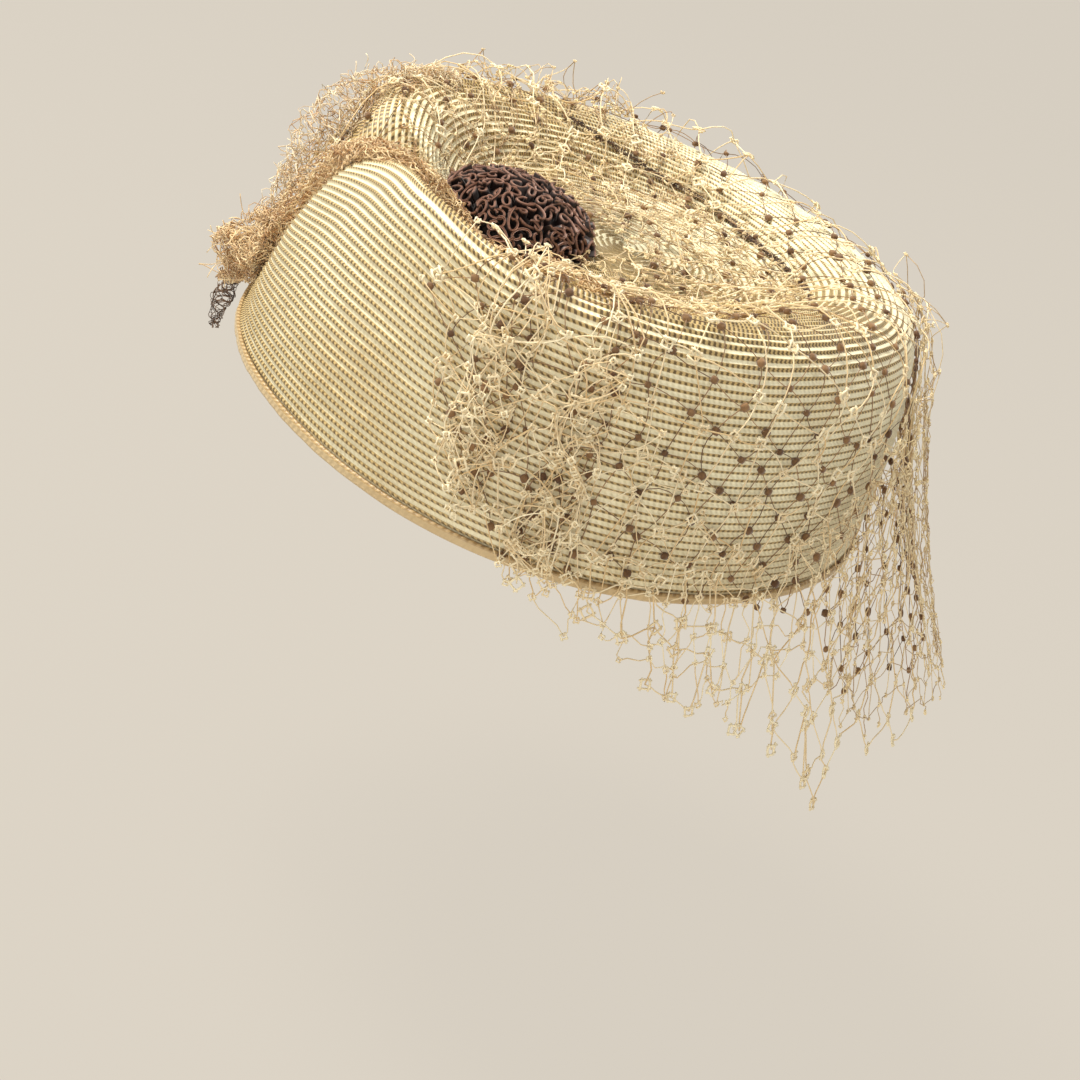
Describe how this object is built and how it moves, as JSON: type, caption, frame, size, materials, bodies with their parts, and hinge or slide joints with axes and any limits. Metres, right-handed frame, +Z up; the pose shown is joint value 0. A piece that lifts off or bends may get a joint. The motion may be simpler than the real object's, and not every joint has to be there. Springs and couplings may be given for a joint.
{
  "type": "pillbox hat",
  "caption": "Pillbox hat of sewn straw braid with a dished top, a side pleat, a soutache rosette and a net veil hanging at one side.",
  "frame": {"origin": "centre of the rim plane, where the hat sits on a head", "axes": "+Z up through the crown, -Y the wearer's front, +X the wearer's left"},
  "size_m": [0.1966, 0.1926, 0.1177],
  "materials": {
    "straw_braid": "glossy ivory straw braid, sewn in overlapping rows",
    "edge_braid": "plain tan straw edge braid",
    "soutache": "dark brown soutache cord, satin",
    "brown_net": "fine brown veiling with chenille dots",
    "cream_net": "cream and tan veiling with knotted crossings"
  },
  "bodies": {
    "root": {"crown": "straw_braid", "rim_band": "edge_braid", "rosette": "soutache", "veil_cover": "brown_net", "veil_fall": "cream_net", "veil_tuft": "cream_net", "veil_roll": "cream_net", "veil_pouf": "cream_net"}
  },
  "joints": []
}
